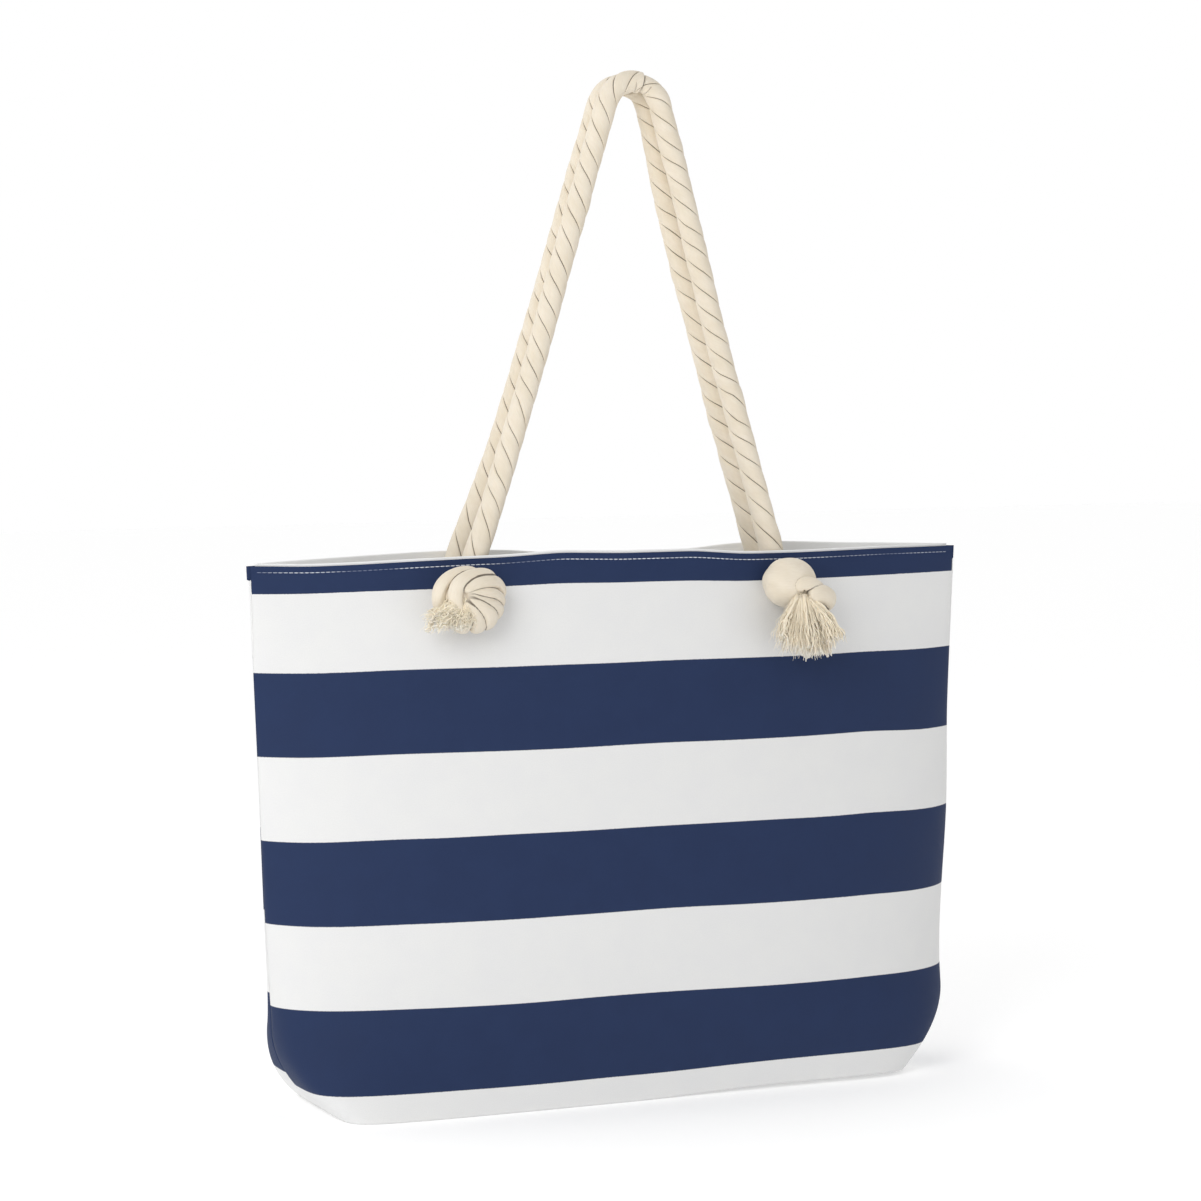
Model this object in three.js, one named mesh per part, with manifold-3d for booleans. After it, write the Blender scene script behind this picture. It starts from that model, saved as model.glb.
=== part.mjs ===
// Striped canvas beach tote with two three-strand rope handles. Millimetres, +Z up.
// Origin: centre of the base on the ground. -Y is the front face, seen with +X to the right.
import * as THREE from 'three';
import { mergeVertices } from 'three/addons/utils/BufferGeometryUtils.js';
import Module from 'manifold-3d';

// ---------- driving dimensions ----------
const HEIGHT = 380;            // base to rim
const MOUTH_HALF_LENGTH = 270; // side seam to centre at the rim
const WAIST_HALF_LENGTH = 257; // the same, where the body is fullest
const BASE_HALF_LENGTH = 218.5;
const WAIST_Z = 60;            // height where the body is fullest
const BASE_HALF_DEPTH = 69;
const WAIST_HALF_DEPTH = 72;
const MOUTH_HALF_DEPTH = 38;

const CANVAS = 1.4;            // outer canvas thickness
const LINING = 1.2;
const CLOTH_GAP = 0.5;         // between canvas and lining
const SEAM_GAP = 0.3;          // between the front and rear halves at the seams

const ROPE_RADIUS = 8;
const EYELET_X = 122;          // eyelet centre to the bag's centre
const EYELET_Z = 357;
const EYELET_BORE = 8.7;       // inner radius of the eyelet barrel
const EYELET_WALL = 1;
const HOLE_CLEARANCE = 0.4;    // cloth and washer round the barrel
const FLANGE_RADIUS = 15.5;
const FLANGE_CROWN = 1.7;      // the flange's highest ring above the cloth
const FLANGE_EDGE = 0.8;       // and its outer edge
const CROWN_WIDTH = 2;         // from the bore to where the flange slopes down
const LIP_WIDTH = 2.6;         // barrel rolled over behind the washer
const PLATE = 1;               // thickness of the washer and of the lip
const RING_SIDES = 16;
const TOUCH_GAP = 0.3;         // between pieces that touch

// Feet are where a handle's legs leave the bag; the arch is at its top. Each rope sits a little differently.
const HANDLES = {
  front: { leftFoot: -109.5, rightFoot: 114.5, archX: 9.7, archRadius: 21 },
  rear: { leftFoot: -107.5, rightFoot: 117, archX: 6.5, archRadius: 20 },
};
const RIM_ROPE_Y = 17.5;
const RIM_ROPE_Z = 383;
const APEX_TOP_Z = 716;        // rope centreline at the top of the arch
const APEX_Y = 8.8;            // the two handles lean in and meet here
const TAIL_RADIUS = 7;         // the rope is squeezed where it turns up behind the eyelet
const BEND_HANDLES = [16, 6];  // stiffness of that turn at its start and end
const TAIL_GAP = 3.3;          // clears the handle's end as it swings

const KNOT_CORE = [22, 20, 20];   // half sizes: across, up, out from the panel
const KNOT_RING_RADIUS = 14;
const KNOT_RING_TUBE = 9;
const KNOT_RING_FORWARD = 2;      // the wrapped turn sits a little further out than the core
const KNOT_TILT = [0.35, -0.25];  // and is tilted, in radians about local X and Y
const KNOT_STAND_OFF = 2.5;       // panel face to the knot's back
const TASSEL_LENGTH = 32;
const TASSEL_TOP_RADIUS = 8;
const TASSEL_END_RADIUS = 22;
const TASSEL_FLATNESS = 0.5;      // depth of a tassel over its width
const TASSEL_BACK = 4;            // from the knot's middle back towards the cloth

const ROPE_SIDES = 10;            // sides of a rope's section
const HANDLE_STEPS = 60;
const TAIL_STEPS = 14;
const LOOP_POINTS = 48;           // points round one horizontal section
const LEVELS = [0, 7, 18, 36, 60, 110, 180, 250, 315, 380];
const SIDES = { front: -1, rear: 1 };
const ENDS = { left: -1, right: 1 };

const wasm = await Module();
wasm.setup();

// ---------- materials ----------
const finish = (color, roughness, metalness = 0) =>
  new THREE.MeshStandardMaterial({ color, roughness, metalness });
const canvas = () => finish(0x24345a, 0.85);
const lining = () => finish(0xe6e6e4, 0.8);
const rope = () => finish(0xe6d9c2, 0.95);
const metal = () => finish(0xc8c8c4, 0.3, 1);

const model = new THREE.Group();
model.name = 'beach_bag';

function addPiece(parent, name, geometry, material) {
  const mesh = new THREE.Mesh(geometry, material);
  mesh.name = name;
  parent.add(mesh);
  return mesh;
}

// ---------- solids: between three.js geometry and manifold ----------
function toSolid(geometry) {
  const bare = geometry.clone();
  bare.deleteAttribute('normal');
  bare.deleteAttribute('uv');
  const merged = mergeVertices(bare, 1e-4);
  return new wasm.Manifold(new wasm.Mesh({
    numProp: 3,
    vertProperties: Float32Array.from(merged.attributes.position.array),
    triVerts: Uint32Array.from(merged.index.array),
  }));
}

function toGeometry(solid) {
  const mesh = solid.getMesh();
  const geometry = new THREE.BufferGeometry();
  geometry.setAttribute('position', new THREE.BufferAttribute(mesh.vertProperties, 3));
  geometry.setIndex(new THREE.BufferAttribute(mesh.triVerts, 1));
  geometry.computeVertexNormals();
  return geometry;
}

// ---------- body of the bag ----------
// One horizontal section is |x/a|^p + |y/b|^q = 1: a lens at the mouth, a boxed rectangle at the base.
const endInsetAt = (z, inset) => inset * (1 + 2.2 * z / HEIGHT);   // the section is pointed at the mouth

function halfLength(z) {
  if (z >= WAIST_Z) {
    const up = (z - WAIST_Z) / (HEIGHT - WAIST_Z);
    return WAIST_HALF_LENGTH + (MOUTH_HALF_LENGTH - WAIST_HALF_LENGTH) * up;
  }
  const below = 1 - z / WAIST_Z;
  return WAIST_HALF_LENGTH - (WAIST_HALF_LENGTH - BASE_HALF_LENGTH) * below ** 2;
}

function halfDepth(z) {
  if (z >= WAIST_Z) {
    const up = (z - WAIST_Z) / (HEIGHT - WAIST_Z);
    return WAIST_HALF_DEPTH - (WAIST_HALF_DEPTH - MOUTH_HALF_DEPTH) * up ** 1.6;
  }
  const swell = Math.sin((Math.PI / 2) * (z / WAIST_Z));
  return BASE_HALF_DEPTH + (WAIST_HALF_DEPTH - BASE_HALF_DEPTH) * swell;
}

function squareness(z) {
  return 1.1 + 0.8 * (1 - z / HEIGHT) + 8 * Math.exp(-z / 22);
}

// Distance of the surface from the middle plane at x and z, moved inwards by inset.
function depthAt(x, z, inset) {
  const level = Math.min(z, HEIGHT);
  const power = squareness(level);
  const along = Math.min(1, Math.abs(x) / (halfLength(level) - endInsetAt(level, inset)));
  return (halfDepth(level) - inset) * (1 - along ** (1 + power)) ** (1 / power);
}

// Points round the section at z, evenly spaced along it, from one side seam to the other and back.
function sectionLoop(z, inset) {
  const level = Math.min(z, HEIGHT);
  const end = halfLength(level) - endInsetAt(level, inset);
  const half = [];
  const fine = 600;
  for (let i = 0; i <= fine; i++) {
    const x = end * Math.cos(Math.PI * i / fine);
    half.push(new THREE.Vector2(x, i === 0 || i === fine ? 0 : depthAt(x, z, inset)));
  }
  const along = [0];
  for (let i = 1; i <= fine; i++) along.push(along[i - 1] + half[i].distanceTo(half[i - 1]));
  const count = LOOP_POINTS / 2;
  const picked = [];
  for (let k = 0, i = 0; k < count; k++) {
    const target = along[fine] * k / count;
    while (i < fine - 1 && along[i + 1] < target) i++;
    const share = (target - along[i]) / (along[i + 1] - along[i]);
    picked.push(half[i].clone().lerp(half[i + 1], share));
  }
  const back = picked.map((p) => new THREE.Vector2(-p.x, -p.y));
  return [...picked, ...back];
}

// The whole bag as one lofted solid, moved inwards by inset on every side and up at the base.
function bagSolid(inset, top) {
  const heights = LEVELS.map((z) => inset + z * (HEIGHT - inset) / HEIGHT);
  if (top > HEIGHT) heights.push(top);
  const positions = [];
  const loops = heights.map((z) => sectionLoop(z, inset).map((p) => [p.x, p.y, z]));
  loops.flat().forEach((p) => positions.push(...p));
  const bottomCentre = positions.length / 3;
  positions.push(0, 0, heights[0]);
  positions.push(0, 0, heights[heights.length - 1]);
  const indices = [];
  const lastRow = (loops.length - 1) * LOOP_POINTS;
  for (let j = 0; j < LOOP_POINTS; j++) {
    const next = (j + 1) % LOOP_POINTS;
    for (let i = 0; i < loops.length - 1; i++) {
      const a = i * LOOP_POINTS + j;
      const b = i * LOOP_POINTS + next;
      indices.push(a, b, b + LOOP_POINTS);
      indices.push(a, b + LOOP_POINTS, a + LOOP_POINTS);
    }
    indices.push(bottomCentre, next, j);
    indices.push(bottomCentre + 1, lastRow + j, lastRow + next);
  }
  const geometry = new THREE.BufferGeometry();
  geometry.setAttribute('position', new THREE.Float32BufferAttribute(positions, 3));
  geometry.setIndex(indices);
  return toSolid(geometry);
}

// ---------- eyelets: place and direction on the cloth ----------
// Local axes at an eyelet: +Z out of the cloth, +Y up along it.
function eyeletFrame(side, end) {
  const x = end * EYELET_X;
  const y = side * depthAt(x, EYELET_Z, 0);
  const step = 0.5;
  const slopeX = (depthAt(x + step, EYELET_Z, 0) - depthAt(x - step, EYELET_Z, 0)) / (2 * step);
  const slopeZ = (depthAt(x, EYELET_Z + step, 0) - depthAt(x, EYELET_Z - step, 0)) / (2 * step);
  const outward = new THREE.Vector3(-slopeX, side, -slopeZ).normalize();
  const across = new THREE.Vector3(0, 0, 1).cross(outward).normalize();
  const up = outward.clone().cross(across);
  const frame = new THREE.Group();
  frame.position.set(x, y, EYELET_Z);
  frame.quaternion.setFromRotationMatrix(new THREE.Matrix4().makeBasis(across, up, outward));
  frame.updateMatrix();
  return { group: frame, centre: frame.position, outward };
}

// A ring, or a closed profile of [radius, height] turned about local Z.
function turned(profile, segments) {
  const points = profile.map(([r, h]) => new THREE.Vector2(r, h));
  return new THREE.LatheGeometry(points, segments).rotateX(Math.PI / 2);
}

const barrelRadius = EYELET_BORE + EYELET_WALL;
const holeRadius = barrelRadius + HOLE_CLEARANCE;

function eyeletHole(frame) {
  const reach = 30;   // well through every layer of cloth
  const hole = new THREE.CylinderGeometry(holeRadius, holeRadius, reach, RING_SIDES);
  return toSolid(hole.rotateX(Math.PI / 2).applyMatrix4(frame.group.matrix));
}

// One sewn half of a bag shell: its face, half of each side and half of the base.
function halfShell(inset, thickness, side, frames) {
  const room = 2 * HEIGHT;
  const halfSpace = new THREE.BoxGeometry(room, room, room * 2);
  halfSpace.translate(0, side * (room / 2 + SEAM_GAP / 2), 0);
  let shell = bagSolid(inset, HEIGHT).subtract(bagSolid(inset + thickness, HEIGHT + 20));
  shell = shell.intersect(toSolid(halfSpace));
  frames.forEach((frame) => { shell = shell.subtract(eyeletHole(frame)); });
  return toGeometry(shell);
}

const clothDepth = CANVAS + CLOTH_GAP + LINING;   // between the eyelet's flange and its washer
const washerTop = -(clothDepth + HOLE_CLEARANCE);
const washerLow = washerTop - PLATE;
const lipTop = washerLow - TOUCH_GAP;
const lipLow = lipTop - PLATE;

function eyeletGeometry() {
  const lipRadius = barrelRadius + LIP_WIDTH;
  return turned([
    [EYELET_BORE, FLANGE_CROWN], [EYELET_BORE, lipLow], [lipRadius, lipLow], [lipRadius, lipTop],
    [barrelRadius, lipTop], [barrelRadius, TOUCH_GAP], [FLANGE_RADIUS, TOUCH_GAP],
    [FLANGE_RADIUS, FLANGE_EDGE], [barrelRadius + CROWN_WIDTH, FLANGE_CROWN],
    [EYELET_BORE, FLANGE_CROWN],
  ], RING_SIDES);
}

function washerGeometry() {
  const washerRadius = FLANGE_RADIUS - 0.5;
  return turned([
    [holeRadius, washerTop], [holeRadius, washerLow], [washerRadius, washerLow],
    [washerRadius, washerTop], [holeRadius, washerTop],
  ], RING_SIDES);
}

// ---------- rope ----------
function ropeTube(points, steps, radius) {
  const section = new THREE.Shape();
  section.absarc(0, 0, radius, 0, Math.PI * 2, false);
  const path = new THREE.CatmullRomCurve3(points, false, 'centripetal');
  return new THREE.ExtrudeGeometry(section, {
    steps, curveSegments: ROPE_SIDES / 2, bevelEnabled: false, extrudePath: path,
  });
}

// Where a leg starts at the rim, in the x-z plane.
function legFoot(handle, end) {
  return new THREE.Vector2(end === ENDS.left ? handle.leftFoot : handle.rightFoot, RIM_ROPE_Z);
}

// The angle round the arch where the straight leg from the rim touches it.
function archAngle(handle, end) {
  const centre = new THREE.Vector2(handle.archX, APEX_TOP_Z - handle.archRadius);
  const reach = legFoot(handle, end).sub(centre);
  const toFoot = Math.atan2(reach.y, reach.x);
  return toFoot + end * Math.acos(handle.archRadius / reach.length());
}

// Leaning in: how far from the middle plane the handle is at height z.
function handleY(z) {
  const up = (z - RIM_ROPE_Z) / (APEX_TOP_Z - RIM_ROPE_Z);
  return RIM_ROPE_Y + (APEX_Y - RIM_ROPE_Y) * up;
}

function handleCentreline(handle, side) {
  const left = archAngle(handle, ENDS.left) + 2 * Math.PI;
  const right = archAngle(handle, ENDS.right);
  const onArch = (angle) => new THREE.Vector2(
    handle.archX + handle.archRadius * Math.cos(angle),
    APEX_TOP_Z - handle.archRadius + handle.archRadius * Math.sin(angle));
  const flat = [];
  const legSteps = 12;
  for (let i = 0; i < legSteps; i++) {
    flat.push(legFoot(handle, ENDS.left).lerp(onArch(left), i / legSteps));
  }
  const archSteps = 10;
  for (let i = 0; i <= archSteps; i++) flat.push(onArch(left + (right - left) * i / archSteps));
  for (let i = 1; i <= legSteps; i++) {
    flat.push(onArch(right).lerp(legFoot(handle, ENDS.right), i / legSteps));
  }
  return flat.map((p) => new THREE.Vector3(p.x, side * handleY(p.y), p.y));
}

// From the knot in through the eyelet, a tight turn up behind the cloth, then up to the rim.
function tailCentreline(frame, handleLine, end) {
  const inward = frame.outward.clone().negate();
  const start = frame.centre.clone().addScaledVector(frame.outward, KNOT_STAND_OFF - TOUCH_GAP);
  const bendStart = frame.centre.clone().addScaledVector(inward, -lipLow);
  const [foot, nextOnLeg] = end === ENDS.left ? handleLine : [handleLine.at(-1), handleLine.at(-2)];
  const alongLeg = nextOnLeg.clone().sub(foot).normalize();
  const top = foot.clone().addScaledVector(alongLeg, -TAIL_GAP);
  const bend = new THREE.CubicBezierCurve3(
    bendStart, bendStart.clone().addScaledVector(inward, BEND_HANDLES[0]),
    top.clone().addScaledVector(alongLeg, -BEND_HANDLES[1]), top);
  return [start, frame.centre.clone(), ...bend.getSpacedPoints(12)];
}

// The stopper knot: a wrapped turn of rope round a core.
function knotGeometry() {
  const centreOut = KNOT_STAND_OFF + KNOT_CORE[2];
  const core = new THREE.SphereGeometry(1, 12, 8).scale(...KNOT_CORE).translate(0, 0, centreOut);
  const ring = new THREE.TorusGeometry(KNOT_RING_RADIUS, KNOT_RING_TUBE, 7, 14);
  ring.rotateX(KNOT_TILT[0]).rotateY(KNOT_TILT[1]).translate(0, 0, centreOut + KNOT_RING_FORWARD);
  return toGeometry(toSolid(core).add(toSolid(ring)));
}

// The frayed rope end under the knot, flattened against the cloth.
function tasselGeometry() {
  const flare = (TASSEL_TOP_RADIUS * 2 + TASSEL_END_RADIUS) / 3;
  const profile = [[0, 0], [TASSEL_TOP_RADIUS, 0], [flare, -TASSEL_LENGTH * 0.4],
    [TASSEL_END_RADIUS, -TASSEL_LENGTH * 0.85], [TASSEL_END_RADIUS - 2, -TASSEL_LENGTH],
    [0, -TASSEL_LENGTH]];
  const points = profile.map(([r, h]) => new THREE.Vector2(r, h)).reverse();
  return new THREE.LatheGeometry(points, 14).scale(1, 1, TASSEL_FLATNESS);
}

// ---------- assembly ----------
for (const [sideName, side] of Object.entries(SIDES)) {
  const frames = {};
  for (const [endName, end] of Object.entries(ENDS)) frames[endName] = eyeletFrame(side, end);
  const both = Object.values(frames);
  const handleLine = handleCentreline(HANDLES[sideName], side);

  addPiece(model, `${sideName}_panel`, halfShell(0, CANVAS, side, both), canvas());
  addPiece(model, `${sideName}_lining`,
    halfShell(CANVAS + CLOTH_GAP, LINING, side, both), lining());

  for (const [endName, end] of Object.entries(ENDS)) {
    const frame = frames[endName];
    const place = `${sideName}_${endName}`;
    model.add(frame.group);
    addPiece(frame.group, `eyelet_${place}`, eyeletGeometry(), metal());
    addPiece(frame.group, `eyelet_washer_${place}`, washerGeometry(), metal());
    addPiece(frame.group, `knot_${place}`, knotGeometry(), rope());
    const tassel = addPiece(frame.group, `tassel_${place}`, tasselGeometry(), rope());
    const knotBottom = KNOT_RING_RADIUS + KNOT_RING_TUBE + 2 * TOUCH_GAP;
    tassel.position.set(0, -knotBottom, KNOT_STAND_OFF + KNOT_CORE[2] - TASSEL_BACK);
    addPiece(model, `rope_tail_${place}`,
      ropeTube(tailCentreline(frame, handleLine, end), TAIL_STEPS, TAIL_RADIUS), rope());
  }
  addPiece(model, `${sideName}_handle`, ropeTube(handleLine, HANDLE_STEPS, ROPE_RADIUS), rope());
}

export default model;
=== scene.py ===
"""Looks of a striped canvas beach tote with rope handles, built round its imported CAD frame."""

import math

import bpy
import numpy as np
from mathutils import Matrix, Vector
from numpy.linalg import norm


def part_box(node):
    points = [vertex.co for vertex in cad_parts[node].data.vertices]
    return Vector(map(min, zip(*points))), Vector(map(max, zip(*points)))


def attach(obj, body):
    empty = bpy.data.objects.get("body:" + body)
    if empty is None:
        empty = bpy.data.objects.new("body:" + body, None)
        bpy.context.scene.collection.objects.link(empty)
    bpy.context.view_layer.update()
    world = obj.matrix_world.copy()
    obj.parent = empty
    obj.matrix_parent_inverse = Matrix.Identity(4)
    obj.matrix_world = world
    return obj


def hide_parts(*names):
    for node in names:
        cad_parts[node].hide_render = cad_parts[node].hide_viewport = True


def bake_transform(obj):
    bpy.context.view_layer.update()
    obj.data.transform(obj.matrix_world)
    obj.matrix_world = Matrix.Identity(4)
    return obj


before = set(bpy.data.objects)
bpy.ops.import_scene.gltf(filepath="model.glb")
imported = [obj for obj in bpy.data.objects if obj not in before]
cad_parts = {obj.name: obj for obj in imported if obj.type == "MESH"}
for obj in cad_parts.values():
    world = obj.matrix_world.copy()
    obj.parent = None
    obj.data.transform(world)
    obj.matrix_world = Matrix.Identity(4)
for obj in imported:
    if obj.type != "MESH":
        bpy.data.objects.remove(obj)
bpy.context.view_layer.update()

# ---------- sizes in metres, worked out from the frame ----------
# The bag is widest and deepest at its waist, a little above the base, and flattest at its mouth.
PANEL_LOW, PANEL_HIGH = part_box("front_panel")
HEIGHT = PANEL_HIGH.z
WAIST_Z = 0.158 * HEIGHT
MOUTH_HALF_LENGTH = PANEL_HIGH.x
WAIST_HALF_LENGTH = 0.952 * MOUTH_HALF_LENGTH
BASE_HALF_LENGTH = 0.809 * MOUTH_HALF_LENGTH
WAIST_HALF_DEPTH = -PANEL_LOW.y
MOUTH_HALF_DEPTH = 0.528 * WAIST_HALF_DEPTH
BASE_HALF_DEPTH = 0.958 * WAIST_HALF_DEPTH

# Cloth: thicknesses, and the size that each half was cut to.
CANVAS = 0.0014
LINING = 0.0012
CLOTH_GAP = 0.0005

# Print, down from the rim: the navy hem, then the first navy stripe. The rear's is a little higher.
STRIPE = 0.0576
RIM_BAND = 0.0187
FIRST_NAVY = 0.0728
PRINT_SHIFTS = {"front": 0, "rear": 0.009}
# How far its edges stray, closely and over decimetres, and how blurred the hem's is.
PRINT_RAGGED, PRINT_DRIFT, PRINT_BLUR = 0.0005, 0.0030, 0.0001
CANVAS_WEAVE, LINING_WEAVE = 0.0007, 0.0005

EYELET_X, EYELET_Z = 0.122, 0.357
EYELET_HOLE = 0.0108

# Feet are where a handle's legs leave the bag; the arch is at its top. Each leg bends a little
# sideways on its way up: bends are millimetres to the right at the heights in BEND_HEIGHTS.
HANDLES = {
    "front": dict(left_foot=-0.1095, right_foot=0.1145, arch_x=0.0112, arch_radius=0.0213, arch_drop=0.0007,
                  left_bend=(-2.6, -1.4, -0.5, 0.4, 1.0, 0.2, 0, 0),
                  right_bend=(1.0, 1.0, 0.9, 0.2, -1.2, -0.6, 0.4, 0)),
    "rear": dict(left_foot=-0.1075, right_foot=0.117, arch_x=0.0107, arch_radius=0.0192, arch_drop=0.0024,
                 left_bend=(-3.6, -2.6, -0.6, 2.2, 2.2, 1.8, 0.6, 0),
                 right_bend=(1.4, 1.2, 0.4, -1.4, -2.2, -3.2, -2.6, 0)),
}
BEND_HEIGHTS = (0.383, 0.400, 0.420, 0.468, 0.525, 0.582, 0.640, 0.690)
ROPE_RADIUS = 0.008
RIM_ROPE_Y, RIM_ROPE_Z = 0.0175, 0.383
APEX_Y = 0.0088
APEX_TOP_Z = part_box("front_handle")[1].z - ROPE_RADIUS

SIDES = {"front": -1, "rear": 1}
ENDS = {"left": -1, "right": 1}
SEEDS = {"front": 3, "rear": 4}


# ---------- camera, at the photograph's viewing angle ----------
CAMERA_YAW, CAMERA_PITCH = math.radians(22.54), math.radians(4.73)
CAMERA_LENS = 125.9
CAMERA_DISTANCE = 2.989
CAMERA_TARGET = (-0.0097, 0, 0.916 * HEIGHT)


def make_camera():
    data = bpy.data.cameras.new("camera")
    data.sensor_width = 36
    data.lens = CAMERA_LENS
    data.clip_end = 50
    camera = bpy.data.objects.new("camera", data)
    bpy.context.scene.collection.objects.link(camera)
    level = math.cos(CAMERA_PITCH)
    back = Vector((-math.sin(CAMERA_YAW) * level, -math.cos(CAMERA_YAW) * level, math.sin(CAMERA_PITCH)))
    camera.location = Vector(CAMERA_TARGET) + CAMERA_DISTANCE * back
    camera.rotation_euler = (-back).to_track_quat("-Z", "Y").to_euler()
    bpy.context.scene.camera = camera


# ---------- mesh helpers ----------
UV_NAME = "cloth"


def new_object(name, vertices, faces, material):
    """A smooth-shaded mesh object with one material."""
    mesh = bpy.data.meshes.new(name)
    mesh.from_pydata([tuple(v) for v in vertices], [], faces)
    mesh.update()
    obj = bpy.data.objects.new(name, mesh)
    bpy.context.scene.collection.objects.link(obj)
    mesh.materials.append(material)
    mesh.shade_smooth()
    return obj


def grid_faces(rows, columns, wrap=False, close=False):
    """Faces between rows of points: with wrap a row is a ring, with close the last row meets the first."""
    faces = []
    for i in range(rows if close else rows - 1):
        for j in range(columns if wrap else columns - 1):
            right, below = (j + 1) % columns, (i + 1) % rows
            faces.append((i * columns + j, i * columns + right, below * columns + right, below * columns + j))
    return faces


def set_uv(obj, uv_of_vertex):
    """uv_of_vertex is an array of (u, v) in metres, one per vertex."""
    layer = obj.data.uv_layers.new(name=UV_NAME)
    loops = np.empty(len(obj.data.loops), np.int32)
    obj.data.loops.foreach_get("vertex_index", loops)
    layer.data.foreach_set("uv", np.asarray(uv_of_vertex, np.float32)[loops].ravel())


def set_number(obj, name, values):
    """A number at each vertex, which the materials read by its name."""
    attribute = obj.data.attributes.new(name, "FLOAT", "POINT")
    attribute.data.foreach_set("value", np.asarray(values, np.float32).ravel())


def capped_tube_faces(count, around):
    """Faces of a tube of rings, with a flat cap at each end."""
    faces = grid_faces(count, around, wrap=True)
    faces.append(tuple(reversed(range(around))))
    faces.append(tuple(range((count - 1) * around, count * around)))
    return faces


# ---------- materials ----------
class Nodes:
    """A short way to write a node tree."""

    def __init__(self, tree):
        self.tree = tree

    def link(self, a, b):
        self.tree.links.new(a, b)

    def add(self, kind, inputs=None, **settings):
        """The first output of a new node with those inputs, each a value or a link."""
        node = self.tree.nodes.new("ShaderNode" + kind)
        for key, value in settings.items():
            setattr(node, key, value)
        for key, value in (inputs or {}).items():
            self.give(node.inputs[key], value)
        return node.outputs[0]

    def give(self, socket, value):
        if isinstance(value, bpy.types.NodeSocket):
            self.link(value, socket)
        else:
            socket.default_value = value

    def math(self, operation, a, b=0.0):
        return self.add("Math", {0: a, 1: b}, operation=operation)

    def mix(self, share, a, b):
        """The colour a where share is 0, and b where it is 1."""
        return self.add("Mix", {0: share, 6: a, 7: b}, data_type="RGBA").node.outputs[2]

    def ramp(self, value, low, high, a=0.0, b=1.0):
        """A smooth step from a to b as the value goes from low to high."""
        return self.add("MapRange", {0: value, 1: low, 2: high, 3: a, 4: b}, interpolation_type="SMOOTHSTEP")

    def place(self, kind):
        """Object: places on a piece. Generated: directions in the world."""
        return self.add("TexCoord").node.outputs[kind]

    def split(self, vector):
        return self.add("SeparateXYZ", {0: vector}).node.outputs


class Material(Nodes):
    """A material with one principled shader."""

    def __init__(self, name):
        self.material = bpy.data.materials.new(name)
        self.material.use_nodes = True
        super().__init__(self.material.node_tree)
        self.tree.nodes.clear()
        output = self.tree.nodes.new("ShaderNodeOutputMaterial")
        self.shader = self.tree.nodes.new("ShaderNodeBsdfPrincipled")
        self.link(self.shader.outputs[0], output.inputs[0])

    def set(self, **values):
        """Give the shader's own inputs a value or a link; an underscore stands for a space."""
        for key, value in values.items():
            self.give(self.shader.inputs[key.replace("_", " ")], value)

    def uv(self):
        return self.add("UVMap", uv_map=UV_NAME)

    def number(self, name):
        """A number that a mesh carries at each vertex."""
        return self.add("Attribute", attribute_name=name).node.outputs["Fac"]

    def noise(self, place, scale, detail, roughness=0.5):
        inputs = {"Vector": place, "Scale": scale, "Detail": detail, "Roughness": roughness}
        return self.add("TexNoise", inputs)


def srgb(r, g, b):
    """A colour as it looks on screen, 0 to 255, in the linear values that shaders take."""
    def linear(c):
        c = c / 255
        return c / 12.92 if c <= 0.04045 else ((c + 0.055) / 1.055) ** 2.4
    return (linear(r), linear(g), linear(b), 1)


def weave_height(n, uv, pitch):
    """Plain weave: warp and weft threads pass over each other, pitch metres apart."""
    along = n.split(uv)
    turn = math.pi / pitch
    across = n.math("SINE", n.math("MULTIPLY", along[0], turn))
    down = n.math("SINE", n.math("MULTIPLY", along[1], turn))
    return n.math("ABSOLUTE", n.math("MULTIPLY", across, down))


def canvas_material(name, shift):
    """Printed canvas: a navy hem at the rim, then white and navy stripes, shift metres higher than drawn."""
    n = Material(name)
    uv = n.uv()
    ragged = n.noise(uv, 900.0, 2.0)
    drift = n.noise(uv, 6.0, 1.0)
    down = n.split(uv)[1]
    for noise, width in ((ragged, PRINT_RAGGED), (drift, PRINT_DRIFT)):
        stray = n.math("MULTIPLY", n.math("SUBTRACT", noise, 0.5), width)
        down = n.math("ADD", down, stray)
    phase = n.math("DIVIDE", n.math("SUBTRACT", down, FIRST_NAVY - STRIPE - shift), STRIPE)
    signed = n.math("SINE", n.math("MULTIPLY", phase, math.pi))
    stripe_white = n.ramp(signed, -0.015, 0.015)
    below_hem = n.ramp(down, RIM_BAND - shift - PRINT_BLUR, RIM_BAND - shift + PRINT_BLUR)
    white_share = n.math("MULTIPLY", stripe_white, below_hem)
    mottle = n.noise(uv, 38.0, 4.0, 0.6)
    fine = n.noise(uv, 1400.0, 2.0)
    navy = n.mix(n.ramp(mottle, 0.3, 0.7), srgb(33, 48, 82), srgb(36, 51, 85))
    navy = n.mix(n.ramp(fine, 0.3, 0.75, 0.0, 0.16), navy, srgb(50, 64, 98))
    white = n.mix(n.ramp(mottle, 0.3, 0.7), srgb(229, 229, 229), srgb(231, 231, 230))
    white = n.mix(n.ramp(fine, 0.3, 0.75, 0.0, 0.25), white, srgb(214, 214, 213))
    height = n.math("ADD", weave_height(n, uv, CANVAS_WEAVE), n.math("MULTIPLY", fine, 0.6))
    bump = n.add("Bump", {"Height": height, "Strength": 0.3, "Distance": 0.00025})
    roughness = n.ramp(mottle, 0.2, 0.8, 0.60, 0.72)
    n.set(Base_Color=n.mix(white_share, navy, white), Roughness=roughness, Normal=bump)
    n.set(Specular_IOR_Level=0.18)
    return n.material


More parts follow.
